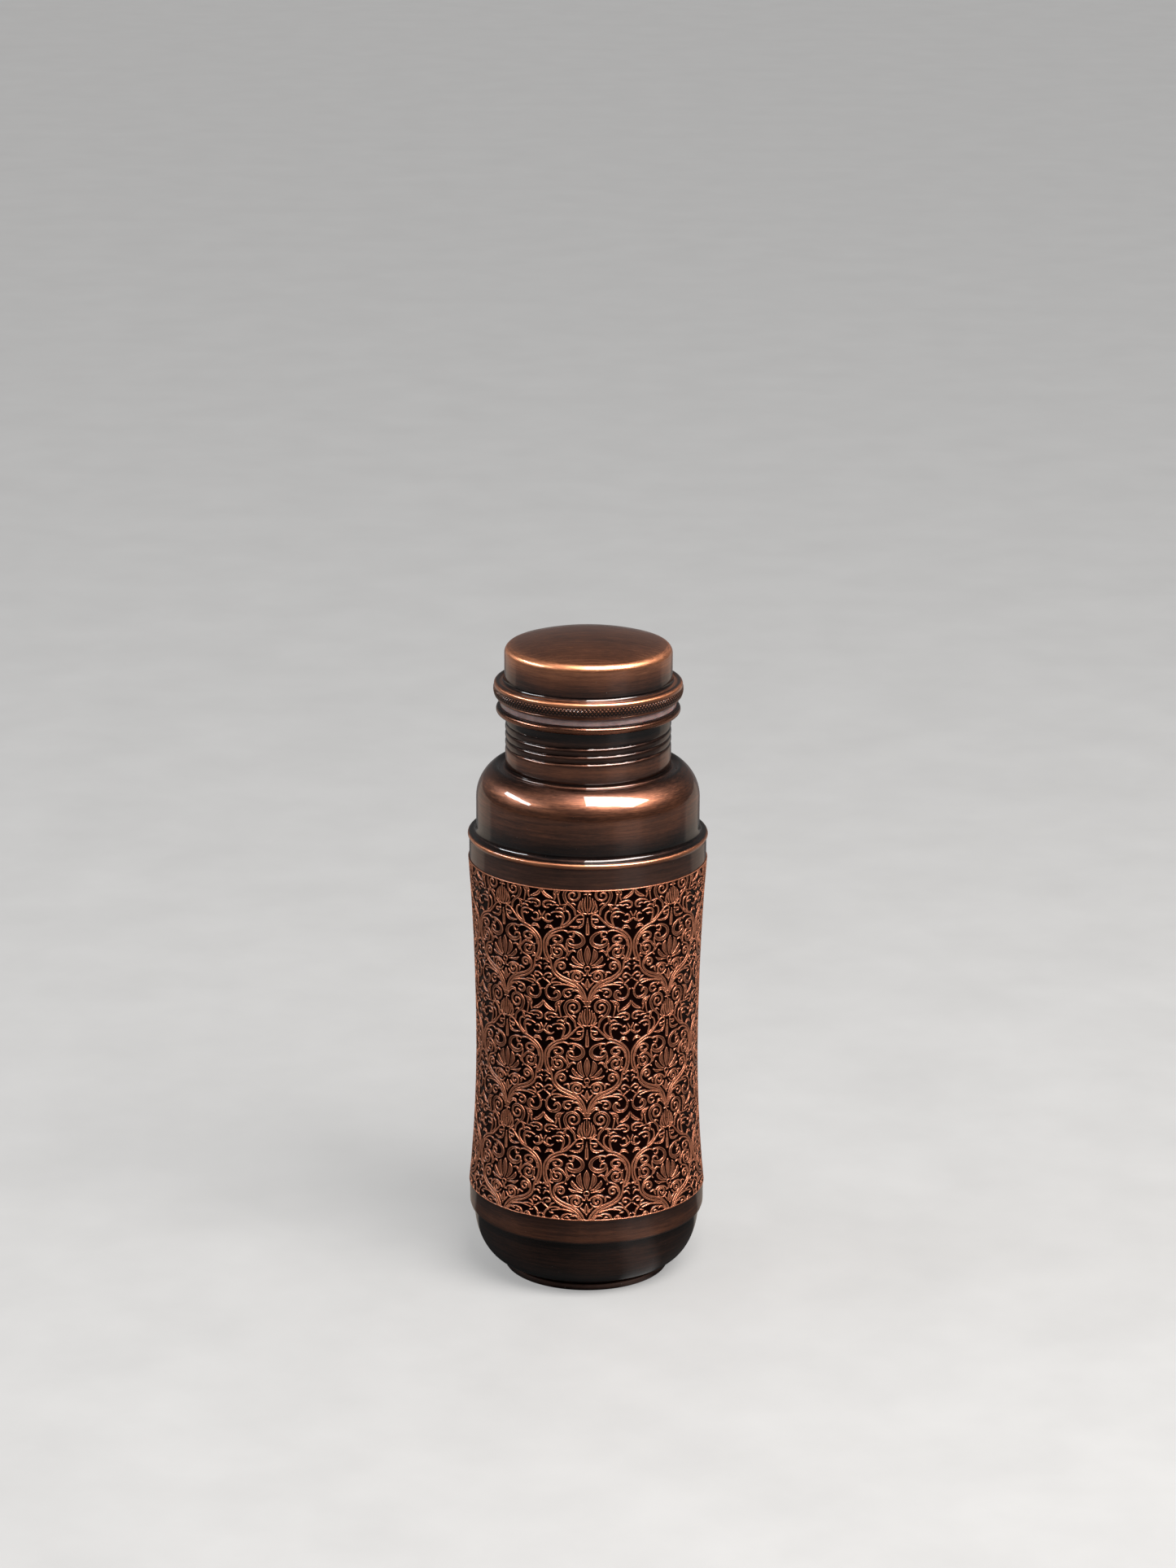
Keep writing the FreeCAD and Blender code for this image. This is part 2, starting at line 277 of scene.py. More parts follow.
def antique_copper(name, roughness=0.34, coat=1.0):
    """Copper with a dark patina that is rubbed off its edges, brushed and lacquered.

    The tone attribute sets the colour: partly how far the patina is rubbed, partly painted
    highlight on rounded edges and painted shade in creases. A slow cloud of wear lies over
    the brushing marks. The coat is the lacquer, which gives the sharp reflections.
    """
    shader = Shader(bpy.data.materials.new(name))
    tone = shader.add("Attribute", attribute_name="tone").outputs["Fac"]
    facing = shader.add("SeparateXYZ", {0: shader.add("TexCoord").outputs["Normal"]})
    on_top = shader.span(facing.outputs["Z"], *FLAT_TOP, 0, 1)
    fine = brushed_noise(shader, on_top, 8.0, 5, 0.7)
    broad = brushed_noise(shader, on_top, 1.2, 3, 0.55)
    cloud = shader.noise(0.05, detail=4, roughness=0.6)
    level = shader.maths("ADD", tone, shader.span(fine, 0.25, 0.75, -0.13, 0.13))
    level = shader.maths("ADD", level, shader.span(broad, 0.3, 0.7, -0.09, 0.09))
    level = shader.maths("ADD", level, shader.span(cloud, 0.3, 0.7, -0.07, 0.07))
    # black patina to bare copper; the tones that drive this ramp also paint highlight and shade
    colour = shader.ramp(level, (0.0, BLACK), (0.25, UMBER), (0.5, BROWN), (0.75, COPPER),
                         (1.0, BARE))
    speck = shader.span(shader.noise(1.8, detail=1), 0.80, 0.83, 0, 0.7)
    colour = shader.mix(speck, colour, DUST)
    rough = shader.span(fine, 0.3, 0.7, roughness - 0.06, roughness + 0.08)
    waves = shader.noise(0.12, detail=2)
    normal = shader.bump(fine, 0.010, 0.5, normal=shader.bump(waves, 0.25, 0.35))
    radial = shader.add("Tangent", direction_type="RADIAL", axis="Z").outputs[0]
    return shader.finish(Base_Color=colour, Metallic=1.0, Roughness=rough, Normal=normal,
                         Anisotropic=shader.span(on_top, 0, 1, 0.55, 0.0),
                         Tangent=radial, Coat_Weight=coat,
                         Coat_Roughness=0.03, Coat_IOR=1.5,
                         Coat_Normal=shader.bump(waves, 0.25, 0.35))


def plain_copper(name, dark, light, roughness=0.3):
    """Copper without patina, with a little tarnish in clouds and fine scratches."""
    shader = Shader(bpy.data.materials.new(name))
    cloud = shader.noise(0.35, detail=5, roughness=0.65)
    fine = shader.noise(7.0, detail=4, stretch=AROUND)
    tone = shader.span(shader.blend(0.4, cloud, fine), 0.35, 0.65, 0, 1)
    colour = shader.mix(tone, dark, light)
    rough = shader.span(cloud, 0.3, 0.7, roughness - 0.06, roughness + 0.1)
    return shader.finish(Base_Color=colour, Metallic=1.0, Roughness=rough,
                         Normal=shader.bump(fine, 0.01, 0.5),
                         Coat_Weight=0.6, Coat_Roughness=0.06)


def embossed_copper():
    """Relief of the sleeve, from the distance in mm inside the edge of a stroke.

    The ground is blackened. Each stroke has a bright rim along its edge, partly rubbed
    copper and partly a painted highlight, and a browner channel between its rims, and a
    broad one is raised and brighter again in its middle.
    """
    ground = (0.013, 0.004, 0.0035)
    foot_of_rim = (0.08, 0.028, 0.015)
    # bright rim colour: partly rubbed copper, partly painted highlight
    rim = (0.71, 0.285, 0.158)
    channel = (0.09, 0.032, 0.018)
    raised = (0.36, 0.135, 0.072)
    shader = Shader(bpy.data.materials.new("embossed_copper"))
    inside = shader.add("Attribute", attribute_name="inside").outputs["Fac"]
    ragged = shader.noise(3.0, detail=3)
    edge = shader.maths("ADD", inside, shader.span(ragged, 0.3, 0.7, -0.03, 0.03))
    place = shader.span(edge, -0.3, 0.7, 0, 1)
    colour = shader.ramp(place, (0.0, ground), (0.26, (0.018, 0.006, 0.0045)),
                         (0.34, foot_of_rim), (0.42, (0.62, 0.24, 0.13)),
                         (0.52, rim), (0.60, (0.24, 0.085, 0.044)),
                         (0.67, channel), (0.78, (0.11, 0.040, 0.022)),
                         (0.90, (0.34, 0.125, 0.068)), (1.0, raised))
    patina = shader.noise(0.5, detail=5, roughness=0.65)
    colour = shader.mix(shader.span(patina, 0.35, 0.7, 0.0, 0.55), colour,
                        (0.45, 0.24, 0.18), blend="MULTIPLY")
    heights = ((0.0, 0), (0.2, 0.03), (0.47, 1), (0.67, 0.4), (0.8, 0.45), (1.0, 0.8))
    height = shader.ramp(place, *[(stop, (grey, grey, grey)) for stop, grey in heights],
                         interpolation="EASE")
    normal = shader.bump(shader.noise(6.0, detail=4), 0.015, 0.4)
    normal = shader.bump(height, 0.16, 1.0, normal=normal)
    rough = shader.span(edge, -0.1, 0.15, 0.5, 0.33)
    metal = shader.span(edge, -0.15, 0.05, 1.0, 0.80)
    coat = shader.span(edge, -0.1, 0.1, 0.0, 0.3)
    return shader.finish(Base_Color=colour, Metallic=metal, Roughness=rough,
                         Normal=normal, Coat_Weight=coat, Coat_Roughness=0.12)


def silicone():
    """Pale translucent silicone with faint clouding and dust."""
    shader = Shader(bpy.data.materials.new("silicone"))
    cloud = shader.noise(0.4, detail=4)
    dust = shader.noise(3.0, detail=3, roughness=0.7)
    # these colours are darkened overall: painted shade under the collar
    colour = shader.mix(shader.span(cloud, 0.35, 0.65, 0, 1), (0.135, 0.084, 0.079),
                        (0.195, 0.13, 0.125))
    colour = shader.mix(shader.span(dust, 0.6, 0.75, 0, 0.3), colour, (0.45, 0.38, 0.37))
    return shader.finish(Base_Color=colour, Roughness=shader.span(dust, 0.3, 0.7, 0.3, 0.5),
                         Normal=shader.bump(dust, 0.02, 0.5), Subsurface_Weight=0.4,
                         Subsurface_Scale=2 * MM, Coat_Weight=0.3, Coat_Roughness=0.2)


def stand_for(node, piece, finish):
    """Puts a piece in the place of a CAD node; a finish is a material and a slot name, which is
    not used.
    """
    material, slot_name = finish
    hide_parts(node)
    piece.data.materials.clear()
    piece.data.materials.append(material)


ANTIQUE = (antique_copper("antique_copper"), "antique_copper")
PLAIN = (antique_copper("plain_brown_copper", roughness=0.38), "plain_copper")
BRUSHED = (antique_copper("brushed_copper", roughness=0.36), "brushed_copper")
# the lip's tones are partly rubbed wear and partly painted highlight and shade
LIP = (antique_copper("lip_copper_wear_and_painted_light", roughness=0.26, coat=0.6), "bright_copper")
PLUG = plain_copper("plug_copper", (0.40, 0.17, 0.09), (0.72, 0.34, 0.19))
INNER = plain_copper("inner_copper", (0.36, 0.16, 0.09), (0.60, 0.29, 0.17), 0.38)
RELIEF = (embossed_copper(), "embossed_copper")
SILICONE = (silicone(), "silicone")


# ---- turned pieces of the bottle -----------
WALL = 0.8                      # copper sheet
NECK_WALL = 0.9


def foot_ring():
    """Flat ring with a rounded outer edge and a neck that runs up to the bowl."""
    radius, low, high = size_of("foot_ring")
    width = 3.2
    chamfer = 0.3
    rounding = 0.6
    inner = radius - width
    profile = [(inner, high), (inner, low + chamfer), (inner + chamfer, low)]
    profile += arc((radius - rounding, low + rounding), rounding, -90, 0, 6)
    neck = shifted(radius, low, (0, 1.9), (-0.15, 2.3), (-0.75, 2.75))
    profile += curve_through(neck + [(radius - 0.8, high)], 5).tolist()
    # tones: darker at the floor and darkest where the ring runs up under the bowl, painted shade
    tones = above(low, (0, 0.2), (1.2, 0.42), (2.2, 0.42)) + [(high, 0.05)]
    piece = lathe("foot_ring_turned", profile, tones)
    stand_for("foot_ring", piece, PLAIN)


def base_bowl():
    """Bowl with a flat floor, a side that is a quarter of an ellipse and an upright rim."""
    radius, low, high = size_of("base_bowl")
    band_low = size_of("base_band")[1]
    flat_radius = 27.4

    def side(offset, steps):
        across = radius - offset - flat_radius
        down = band_low - low - offset
        return [(flat_radius + across * math.sin(t), band_low - down * math.cos(t))
                for t in np.linspace(0, math.pi / 2, steps)]

    profile = [(0, low), (8, low), (18, low)] + side(0, 28) + [(radius, high)]
    profile += [(radius - WALL, high)] + side(WALL, 20)[::-1] + [(0, low + WALL)]
    # tones: dark towards the floor and just under the band, painted shade; brighter between
    tones = above(low, (0, 0.05), (1.2, 0.1), (5, 0.33), (10, 0.37))
    tones += above(band_low, (-3, 0.30), (-0.8, 0.05))
    piece = lathe("base_bowl_spun", profile, tones)
    stand_for("base_bowl", piece, ANTIQUE)


def base_band():
    """Plain band whose lower edge is rolled in towards the bowl."""
    radius, low, high = size_of("base_band")
    inner = size_of("base_bowl")[0] + WALL
    turned_in = radius - 0.75
    rounding = 0.35
    profile = [(inner, high), (inner, low), (turned_in, low)]
    profile += arc((turned_in, low + rounding), rounding, -90, -30, 5)
    profile += shifted(radius, low, (-0.2, 0.9), (-0.05, 1.4), (0, 2.0))
    profile += [(radius, (low + high) / 2), (radius, high)]
    tones = above(low, (0, 0.2), (0.8, 0.70), (2, 0.60)) + above(high, (-1.5, 0.50), (0, 0.3))
    piece = lathe("base_band_rolled", profile, tones)
    stand_for("base_band", piece, PLAIN)


def rim_band():
    """Band with a rounded rim, a ledge on top of it and a fillet up to the shoulder."""
    radius, low, high = size_of("rim_band")
    shoulder = size_of("shoulder_shell")[0]
    band = radius - 0.5
    rounding = 1.0
    bead = high - 3.3               # height of the middle of the rounded rim
    ledge = bead + rounding
    under_ledge = ledge - 1.3
    fillet_width = 1.3
    fillet_height = 2.3
    profile = [(shoulder, high), (shoulder, under_ledge), (shoulder + WALL, under_ledge),
               (shoulder + WALL, low + 1.5), (band - 0.6, low), (band, low), (band, low + 3),
               (band, bead - 1.4)]
    swell = shifted(radius, bead, (-0.5, -1.0), (-0.3, -0.75), (-0.08, -0.35), (0, 0))
    profile += curve_through(swell, 5).tolist()[:-1]
    profile += arc((radius - rounding, bead), rounding, 0, 90, 12)
    profile += [(shoulder + fillet_width * (1 - math.sin(t)),
                 ledge + fillet_height * (1 - math.cos(t)))
                for t in np.linspace(0, math.pi / 2, 14)]
    # tones: brightest round the widest part of the rim, partly rubbed wear and partly painted
    # highlight; dark on the ledge and up the fillet to the shoulder, painted shade
    tones = above(bead, (-2.5, 0.44), (-0.9, 0.40), (-0.6, 0.88), (0.3, 0.95), (0.8, 0.6))
    tones += above(ledge, (0, 0.15), (0.8, 0.05)) + [(high, 0.08)]
    piece = lathe("rim_band_rolled", profile, tones)
    stand_for("rim_band", piece, PLAIN)


def shoulder_shell():
    """Upright skirt that rounds over to a shallow valley around the neck."""
    radius, low, high = size_of("shoulder_shell")
    neck = size_of("neck_tube")[0]
    rim = size_of("rim_band")[2]
    rounding = 13.2
    centre = (radius - rounding, high - 11.4)
    valley = shifted(neck, high, (3.7, -0.45), (3.0, -0.3), (2.3, -0.6), (1.5, -1.15),
                     (0.8, -1.25), (0.25, -0.8), (0.02, 0.1))
    profile = [(radius - WALL, low), (radius, low), (radius, rim), (radius, centre[1] - 4)]
    profile += arc(centre, rounding, 0, 53, 26)
    profile += curve_through([profile[-1]] + valley, 6).tolist()[1:]
    profile += [(neck, high - 2.0)]
    profile += arc(centre, rounding - WALL, 52, 0, 14)
    # tones: dark at the foot by the rim and darkening into the valley round the neck, painted
    # shade
    tones = above(rim, (-0.5, 0.05), (1.0, 0.2), (2.6, 0.52))
    tones += above(high, (-9.4, 0.60), (-4.4, 0.53), (-1.9, 0.40), (-0.5, 0.28), (0.1, 0.1))
    piece = lathe("shoulder_spun", profile, tones)
    stand_for("shoulder_shell", piece, ANTIQUE)


def mouth_lip():
    """Bead rolled outward around the mouth."""
    radius, low, high = size_of("mouth_lip")
    neck = size_of("neck_tube")[0]
    bore = neck - NECK_WALL
    half = (high - low) / 2
    rounding = 0.3
    neck_end = high - 0.7
    profile = [(bore, neck_end), (neck, neck_end), (neck, low + 0.1)]
    profile += arc((radius - half, low + half), half, -90, 90, 18)
    profile += [(neck + 0.3, high)]
    profile += arc((bore + rounding, high - rounding), rounding, 90, 180, 4)
    # tones: bright on the bead, partly rubbed wear and partly painted highlight; darker on top,
    # painted shade
    tones = above(low, (0, 0.35), (0.5, 0.66), (1.5, 0.71)) + above(high, (-0.4, 0.38), (0, 0.2))
    piece = lathe("mouth_lip_rolled", profile, tones)
    stand_for("mouth_lip", piece, LIP)


# ---- neck with its rolled thread -----------
THREAD_PITCH = 2.64
THREAD_TURNS = 3.45
THREAD_RUN_OUT = 0.2            # part of a turn over which its ends fade


def thread_groove(angles, above_start):
    """Depth of the thread around a ring, from 0 on its crests to 1 in its grooves.

    above_start is the ring's height above the thread's lower end, which is at the back.
    """
    from_back = (angles - math.pi / 2) % TURN / TURN
    turns_up = above_start / THREAD_PITCH - from_back
    last = np.floor(THREAD_TURNS - from_back)
    nearest = np.clip(np.round(turns_up), 0, last)
    from_groove = np.clip(np.abs(turns_up - nearest) * 2, 0, 1)
    bead = np.sqrt(1 - (1 - from_groove) ** 2)
    along = nearest + from_back
    run_out = np.clip(np.minimum(along, THREAD_TURNS - along) / THREAD_RUN_OUT, 0, 1)
    return (1 - bead) * run_out


def neck_tube():
    """Neck whose thread stands out as rounded beads between narrow grooves."""
    radius, low, high = size_of("neck_tube")
    bore = radius - NECK_WALL
    depth = 0.62
    start = low + 7.98
    thread_low = start - THREAD_PITCH
    thread_high = start + (THREAD_TURNS + 1) * THREAD_PITCH

    def rolled(angles, radii, height):
        if thread_low < height < thread_high:
            return radii - depth * thread_groove(angles, height - start)
        return radii

    rows = np.concatenate([np.arange(low, thread_low, 0.8),
                           np.arange(thread_low, thread_high, 0.1), [high - 0.5, high]])
    profile = [(radius, z) for z in rows] + [(bore, z) for z in rows[::-1]]
    # tones: dark at the foot in the shoulder's valley and darkest under the lip, painted shade;
    # brighter on the lower wall between
    tones = above(low, (2.2, 0.10), (3.5, 0.45), (6.5, 0.68), (8.5, 0.50), (10, 0.34),
                  (16, 0.30), (17.5, 0.06)) + [(high, 0.03)]
    piece = lathe("neck_tube_rolled", profile, tones, columns=240, relief=rolled,
                  recess_tone=0.4)
    stand_for("neck_tube", piece, ANTIQUE)


# ---- cap and its gasket --------------------
def mouth_gasket():
    """Flat ring with a rounded outer edge."""
    radius, low, high = size_of("mouth_gasket")
    bore = 26.5
    land = radius - 1.4
    rounding = 0.35
    profile = [(bore, high), (bore, low), (land, low)]
    profile += arc((radius - rounding, low + rounding), rounding, -90, 0, 5)
    profile += arc((radius - rounding, high - rounding), rounding, 0, 90, 5)
    profile += [(land, high)]
    piece = lathe("mouth_gasket_moulded", profile, [(low, 0.5)], body="seal")
    stand_for("mouth_gasket", piece, SILICONE)


def cap_crown():
    """Straight side, a rounded edge and a dome that is part of a sphere."""
    radius, low, high = size_of("cap_crown")
    collar = size_of("knurled_collar")[2]
    rise = 4.2
    edge = 3.0
    base = radius - edge / 2
    dome_radius = (base ** 2 + rise ** 2) / (2 * rise)
    middle = high - dome_radius
    reach = radius - edge
    side_top = middle + math.sqrt((dome_radius - edge) ** 2 - reach ** 2)
    tangent = math.degrees(math.atan2(side_top - middle, reach))

    def dome(offset):
        side = arc((reach, side_top), edge - offset, 0, tangent, 14)
        top = arc((0, middle), dome_radius - offset, tangent, 90, 24)[1:-1]
        return side + top + [(0, high - offset)]

    profile = [(radius - WALL, low)] + [(radius, low + up) for up in (0, 4, 8, 12)]
    profile += dome(0) + dome(WALL)[::-1]
    # tones: dark where the crown meets the collar, painted shade; brightest on the rounded edge,
    # partly rubbed wear and partly painted highlight
    tones = above(collar, (-0.5, 0.02), (0.8, 0.12), (2.0, 0.55))
    tones += above(side_top, (-2.0, 0.78), (0, 0.88), (1.6, 0.95), (2.9, 0.84), (3.6, 0.72))
    tones += above(high, (-1.5, 0.68), (0, 0.66))
    piece = lathe("cap_crown_spun", profile, tones, body="cap")
    stand_for("cap_crown", piece, BRUSHED)


def triangle_wave(position):
    """From 0 at whole positions to 1 half-way between them."""
    return 1 - np.abs(2 * (position % 1.0) - 1)


def knurled_collar():
    """Collar: a fillet and a bead on top, then a barrel-shaped diamond knurl and a lip."""
    radius, low, high = size_of("knurled_collar")
    crown = size_of("cap_crown")[0]
    teeth = 152
    samples = 10                      # columns for each tooth
    columns = teeth * samples
    depth = 0.28
    sharpness = 1.3                   # above 1, the crests are flattened
    lean = math.radians(42)           # of the cuts, from upright
    row = TURN * radius / columns / math.tan(lean)
    knurl_high = low + 4.95
    rows = int((knurl_high - low - 1.6) / row)
    knurl_low = knurl_high - rows * row
    run_out = 4                       # rows over which the cuts fade

    def barrel(height):
        from_belly = (height - (low + 3.6)) / 1.9
        return radius - 0.42 * max(0.0, -from_belly) ** 2.2 - 0.42 * max(0.0, from_belly) ** 2

    def knurled(angles, radii, height):
        step = (knurl_high - height) / row
        if not -0.01 < step < rows + 0.01 or radii[0] < radius - 2:
            return radii
        column = np.arange(columns)
        one = triangle_wave((column + round(step)) / samples)
        other = triangle_wave((column - round(step)) / samples)
        crest = np.clip(np.minimum(one, other) * sharpness, 0, 1)
        fade = min(step / run_out, (rows - step) / run_out, 1.0)
        return radii - depth * fade * (1 - crest)

    fillet = 1.4
    foot_radius = 29.4
    lower_bead = shifted(foot_radius, low, (0.95, 1.25), (1.02, 0.95), (0.8, 0.6), (0, 0))
    profile = arc((crown + fillet, high), fillet, 180, 270, 8)
    profile += arc((foot_radius + 0.5, low + 5.1), 1.3, 118, 10, 12)
    profile += [(barrel(knurl_high - i * row), knurl_high - i * row) for i in range(rows + 1)]
    profile += curve_through([(barrel(knurl_low) - 0.1, knurl_low - 0.12)] + lower_bead,
                             4).tolist()
    profile += [(crown - WALL, low), (crown - WALL, low + 1.0), (crown, low + 1.0)]
    # tones: brightest on the bead under the fillet, partly rubbed wear and partly painted
    # highlight; dark in the fillet up to the crown, painted shade
    tones = above(low, (0, 0.2), (0.75, 0.60), (1.3, 0.55), (1.8, 0.62), (3.5, 0.66),
                  (4.6, 0.72), (5.1, 0.83), (5.9, 0.9), (6.35, 0.5), (6.45, 0.1))
    tones += [(high, 0.05)]
    piece = lathe("knurled_collar_cut", profile[::-1], tones, columns=columns,
                  relief=knurled, recess_tone=2.2, body="cap")
    stand_for("knurled_collar", piece, BRUSHED)


# ---- embossed sleeve -----------------------
# One repeat of the pattern is half a column wide and mirrored on both sides. Places on
# it are (distance from the middle of a column, depth below the top of the repeat) in mm,
# and the numbers after a stroke's points are its widths at even steps along it.
REPEATS_AROUND = 8
HALF_COLUMN = 14.92
REPEAT_HEIGHT = 39.25
STROKE_GAIN = 0.90           # share of the drawn widths that is used
SEAM_CUT = 1.6               # how sharply strokes that overlap are cut apart
VEIN = 0.06                  # half the width of the cut along a leaf
VEIN_FROM = 0.42             # leaves this wide, from vein to edge, have one
RELIEF_DEPTH = 0.42
BORDER = 0.55                # bright plain edge of the sleeve
WAIST_HEIGHT = 80.0          # where the sleeve is slimmest
WAIST_RADIUS = 37.45
BACK_DEPTH = 1.0             # from the crests to the back of the sleeve
OUTSIDE = -1.0               # distance inside a stroke, where there is none
FAR = 9.0                    # further away than any part of a stroke
STROKE_MARGIN = 0.4          # how far around a stroke its distance is worked out
MIRROR_REACH = 1.5           # strokes this near to a side are mirrored there
RELIEF_TOE = 0.12            # how far outside a stroke its slope begins
RELIEF_SLOPE = 0.34          # how wide the slope is


def strand(points, *widths):
    """A rounded ribbon through points, with its widths at even steps along it."""
    return ("strand", points, widths)


def leaf(points, *widths):
    """A ribbon with a vein cut along its middle."""
    return ("leaf", points, widths)


def bud_strokes():
    """Bud on the column with the volute that curls over it."""
    stem = [(3.9, 8.6), (4.2, 6.9), (5.3, 5.5), (6.4, 4.5)]
    yield strand(stem + spiral(4.6, 1.9, 3.0, 0.35, 40, -620), 0.8, 1.3, 0.9, 0.8, 0.6)
    yield strand([(5.6, 5.0), (4.7, 4.7), (3.8, 5.3)], 0.5, 0.7, 0.5)
    yield leaf([(0, -0.4), (0, 1.0)], 0.9, 1.1)
    yield strand([(-1.1, 1.5), (0, 1.3), (1.1, 1.5)], 0.5, 0.7, 0.5)
    yield leaf([(0, 5.0), (0, 1.9)], 0.5, 1.0, 0.5)
    yield leaf([(0, 8.3), (0, 5.2)], 0.5, 0.9, 0.5)
    yield leaf([(0.5, 7.4), (0.95, 5.0), (0.7, 2.5)], 0.5, 0.9, 0.4)
    yield leaf([(1.2, 7.7), (1.9, 5.4), (1.5, 3.0)], 0.5, 0.9, 0.4)
    yield leaf([(1.8, 8.0), (2.8, 6.2), (2.3, 3.8)], 0.5, 0.9, 0.4)
    yield strand([(0, 8.4), (1.2, 8.1), (2.5, 7.9), (3.2, 7.2)], 0.6, 0.7, 0.5)
    yield leaf([(0, 9.8), (0, 12.5), (0, 15.2)], 0.4, 1.3, 1.5)


def upper_leaf_strokes():
    """Leaves and hooks between the volute and the middle of two columns."""
    yield leaf([(7.7, -0.5), (8.9, 0.4), (9.4, 1.8), (9.2, 3.4), (8.7, 5.5)], 0.3, 1.1, 0.7, 0.5)
    yield leaf([(8.2, -0.3), (9.7, 0.3), (10.5, 1.5), (10.3, 2.7), (10.6, 3.8)],
               0.4, 1.2, 0.8, 0.6)
    yield leaf([(14.8, 0.2), (14.2, 1.5), (13.2, 2.5), (12.1, 3.0), (11.0, 3.4)],
               0.5, 1.5, 1.3, 0.3)
    yield strand([(10.1, 4.9), (11.5, 4.4), (13.0, 4.4), (14.2, 5.1), (14.2, 6.3),
                  (13.4, 6.8), (12.5, 6.7)], 0.5, 0.9, 0.8, 0.5)
    yield strand([(9.2, 5.6), (10.4, 5.5), (11.3, 5.8), (12.1, 5.5), (13.0, 5.7),
                  (13.2, 6.2)], 0.5, 0.5, 0.4)
    yield strand([(11.3, 11.0), (12.2, 11.6), (13.6, 11.4), (14.6, 10.6), (15.2, 9.6),
                  (15.9, 8.3)], 0.4, 1.0, 0.7, 0.6)
    yield strand([(12.1, 9.3), (12.9, 9.0), (13.6, 9.7), (13.5, 10.7)], 0.6, 0.8, 0.7)


def acanthus_strokes():
    """Two stems with hooked leaves that spring from the outer stem."""
    yield strand([(6.2, 5.3), (7.2, 5.2), (8.3, 5.5)], 0.4, 0.6, 0.4)
    yield leaf([(7.0, 5.6), (7.4, 6.3), (7.2, 7.2)], 0.5, 1.1, 0.9)
    yield strand([(7.9, 7.4), (7.0, 7.4), (6.1, 7.9), (5.7, 9.0), (5.8, 10.3), (6.6, 11.5),
                  (7.9, 12.5)], 0.6, 0.8, 0.6)
    yield strand([(10.2, 7.1), (9.2, 6.6), (8.2, 6.9), (7.6, 7.6)], 0.4, 0.8, 0.8)
    yield strand([(8.6, 12.9), (8.0, 11.4), (7.7, 9.8), (8.0, 8.6), (8.9, 8.0), (10.4, 8.0),
                  (11.8, 8.6)], 0.6, 1.0, 0.8, 0.5)
    yield strand([(8.1, 9.8), (9.0, 9.4), (9.6, 9.8), (10.1, 9.5)], 0.5, 0.8, 0.6)


def outer_stem_strokes():
    """Stem that curls under the bud and runs to the middle of two columns."""
    yield strand([(1.3, 9.7), (1.3, 8.9), (2.2, 8.5), (3.2, 8.9), (4.3, 10.1), (5.6, 11.5),
                  (7.0, 12.8), (8.4, 13.3), (9.8, 13.8), (11.2, 14.5), (12.4, 15.4),
                  (13.5, 16.7), (14.3, 18.2), (14.5, 20.0), (14.4, 22.0), (14.0, 23.6),
                  (13.2, 25.0)], 0.5, 0.8, 0.8, 0.8, 0.8)
    yield strand([(1.2, 10.0), (2.3, 10.2), (3.3, 10.4), (3.2, 11.1), (2.3, 11.2)],
                 0.6, 0.7, 0.6)
    yield leaf([(1.3, 10.6), (1.5, 11.8), (2.4, 12.8), (3.7, 13.0), (4.8, 12.9), (5.8, 12.7)],
               0.4, 1.1, 1.0, 0.3)
    yield leaf([(11.0, 14.2), (12.0, 13.3), (13.0, 13.3), (14.1, 14.3)], 0.4, 1.2, 1.2, 0.4)


def scroll_strokes():
    """Comma scroll, loop and spiral inside the ogee, over the palmette."""
    yield strand([(6.3, 14.7), (4.6, 14.6), (2.9, 15.2), (1.6, 16.4), (1.3, 17.9), (2.1, 19.1),
                  (3.6, 19.7), (5.2, 19.5), (6.3, 18.7), (6.4, 17.7), (5.7, 17.2),
                  (4.8, 17.5), (4.5, 18.3)], 0.6, 1.4, 1.7, 0.9, 0.6)
    yield leaf([(4.6, 14.9), (4.4, 15.8), (5.0, 16.5), (5.9, 16.1)], 0.6, 0.9, 0.4)
    yield strand([(13.0, 20.0), (12.8, 18.2), (11.9, 16.9), (10.6, 16.2), (9.2, 16.3),
                  (8.3, 17.1), (8.5, 18.1), (9.7, 18.6), (10.9, 18.2), (11.1, 17.5),
                  (10.3, 17.2)], 0.5, 0.8, 1.0, 0.7)
    stem = [(7.2, 24.0), (6.6, 22.8), (6.5, 21.8)]
    yield strand(stem + spiral(9.8, 21.8, 2.7, 0.35, 195, 600), 0.8, 0.9, 1.1, 0.9, 0.7)
    yield leaf([(10.8, 20.7), (11.6, 20.4), (12.4, 19.9)], 0.7, 0.8, 0.3)
    yield strand([(11.0, 23.2), (12.0, 23.3), (12.2, 24.0), (11.3, 24.4)], 0.5, 0.6, 0.7)
    yield strand([(3.8, 21.6), (4.7, 21.2), (5.7, 21.8), (6.2, 22.7), (6.9, 23.6)],
                 0.5, 0.9, 0.9, 0.6)
    yield strand([(6.9, 18.8), (6.8, 20.0), (6.4, 21.2), (6.2, 22.4)], 0.6, 0.8, 0.8)
    yield strand(spiral(8.6, 26.9, 1.7, 0.45, 10, -470), 0.6, 0.9, 0.8, 0.7)


